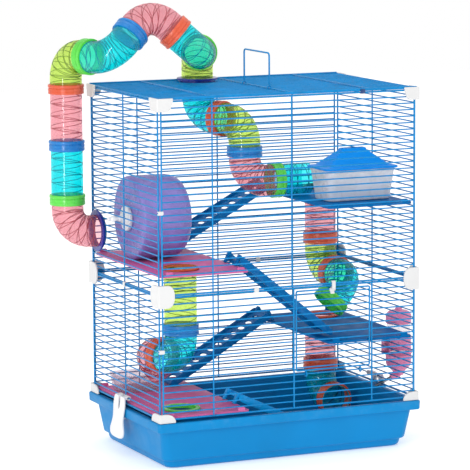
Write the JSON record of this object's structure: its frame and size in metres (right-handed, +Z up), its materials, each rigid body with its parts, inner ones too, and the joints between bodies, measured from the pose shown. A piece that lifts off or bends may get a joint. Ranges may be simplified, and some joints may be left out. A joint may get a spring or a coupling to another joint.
{
  "type": "hamster cage",
  "caption": "tall blue wire cage on a deep tray, with platforms, ramps, an exercise wheel, a nest box, a side bottle, a front door and clip-together tubes inside and over the roof",
  "frame": {"origin": "centre of the flat underside of the tray", "axes": "+X to the right along the long front, +Y from the front to the back, +Z up"},
  "size_m": [0.5799, 0.3094, 0.7246],
  "materials": {
    "wire": "gloss blue coating on welded wire",
    "tray_blue": "moulded, slightly glossy",
    "platform_pink": "moulded, slightly glossy",
    "platform_blue": "moulded, slightly glossy",
    "ramp_blue": "moulded, slightly glossy",
    "tube_cyan": "tinted clear moulding",
    "tube_pink": "tinted clear moulding",
    "tube_green": "tinted clear moulding",
    "white": "moulded white",
    "wheel": "moulded, slightly translucent",
    "nest_grey": "moulded, slightly translucent",
    "roof_blue": "moulded",
    "bottle_pink": "moulded",
    "clear": "clear moulding"
  },
  "bodies": {
    "base": {"panel_front_lower": "wire", "panel_front_upper": "wire", "panel_back_lower": "wire", "panel_back_upper": "wire", "panel_left_lower": "wire", "panel_left_upper": "wire", "panel_right_lower": "wire", "panel_right_upper": "wire", "panel_roof": "wire", "cap_front_left": "white", "cap_front_right": "white", "cap_back_left": "white", "cap_back_right": "white", "joint_front_left": "white", "joint_front_right": "white", "joint_back_left": "white", "joint_back_right": "white", "foot_front_left": "white", "foot_front_right": "white", "foot_back_left": "white", "foot_back_right": "white", "wheel_axle": "white", "tray": "tray_blue", "platform_upper_left": "platform_pink", "platform_lower_left": "platform_pink", "platform_upper_right": "platform_blue", "platform_middle_right": "platform_blue", "nest_tub": "nest_grey", "bottle": "bottle_pink", "bottle_bracket": "bottle_pink", "food_dish": "clear", "tube_wall_elbow": "tube_pink", "tube_rise_cyan": "tube_cyan", "tube_rise_pink": "tube_pink", "tube_over_1": "tube_green", "tube_over_2": "tube_cyan", "tube_over_3": "tube_pink", "tube_over_4": "tube_cyan", "tube_over_5": "tube_green", "tube_inner_1": "tube_cyan", "tube_inner_2": "tube_green", "tube_inner_3": "tube_pink", "tube_inner_end": "tube_cyan", "tube_right_straight": "tube_pink", "tube_right_elbow": "tube_green", "tube_right_outlet": "tube_cyan", "tube_floor": "tube_cyan", "tube_left_straight": "tube_green", "tube_left_outlet": "tube_pink"},
    "handle": {"carry_handle": "wire"},
    "wheel": {"wheel_drum": "wheel"},
    "door": {"front_door": "wire"},
    "clip": {"door_clip": "white"},
    "nest_lid": {"nest_roof": "roof_blue"},
    "left_latch": {"latch_left": "white"},
    "right_latch": {"latch_right": "white"},
    "top_ramp": {"ramp_top": "ramp_blue"},
    "front_ramp": {"ramp_front": "ramp_blue"},
    "back_ramp": {"ramp_back": "ramp_blue"},
    "floor_ramp": {"ramp_floor": "ramp_blue"}
  },
  "joints": [
    {"name": "handle_fold", "type": "hinge", "parent": "base", "child": "handle", "pos_m": [0.0018, -0.0163, 0.58885], "axis": [0, 1, 0], "range_deg": [-86, 86]},
    {"name": "wheel_spin", "type": "hinge", "parent": "base", "child": "wheel", "pos_m": [-0.158, 0.037, 0.37922], "axis": [1, 0, 0], "continuous": true},
    {"name": "door_swing", "type": "hinge", "parent": "base", "child": "door", "pos_m": [0.075, -0.1469, 0.13633], "axis": [1, 0, 0], "range_deg": [0, 150]},
    {"name": "clip_release", "type": "hinge", "parent": "door", "child": "clip", "pos_m": [0.075, -0.1469, 0.2707], "axis": [1, 0, 0], "range_deg": [0, 25]},
    {"name": "nest_lid_lift", "type": "slide", "parent": "base", "child": "nest_lid", "axis": [0, 0, 1], "range_m": [0, 0.07]},
    {"name": "left_latch_swing", "type": "hinge", "parent": "base", "child": "left_latch", "pos_m": [-0.2239, 0.007, 0.09327], "axis": [0, 1, 0], "range_deg": [0, 68]},
    {"name": "right_latch_swing", "type": "hinge", "parent": "base", "child": "right_latch", "pos_m": [0.2239, 0.007, 0.09327], "axis": [0, -1, 0], "range_deg": [0, 68]},
    {"name": "top_ramp_lift", "type": "hinge", "parent": "base", "child": "top_ramp", "pos_m": [0.0732, 0.103, 0.403], "axis": [0, 1, 0], "range_deg": [0, 2]},
    {"name": "front_ramp_lift", "type": "hinge", "parent": "base", "child": "front_ramp", "pos_m": [-0.0732, -0.0765, 0.311], "axis": [0, -1, 0], "range_deg": [0, 15]},
    {"name": "back_ramp_lift", "type": "hinge", "parent": "base", "child": "back_ramp", "pos_m": [0.0732, 0.103, 0.1845], "axis": [0, 1, 0], "range_deg": [0, 15]},
    {"name": "floor_ramp_lift", "type": "hinge", "parent": "base", "child": "floor_ramp", "pos_m": [-0.0732, -0.068, 0.086], "axis": [0, -1, 0], "range_deg": [0, 15]}
  ]
}
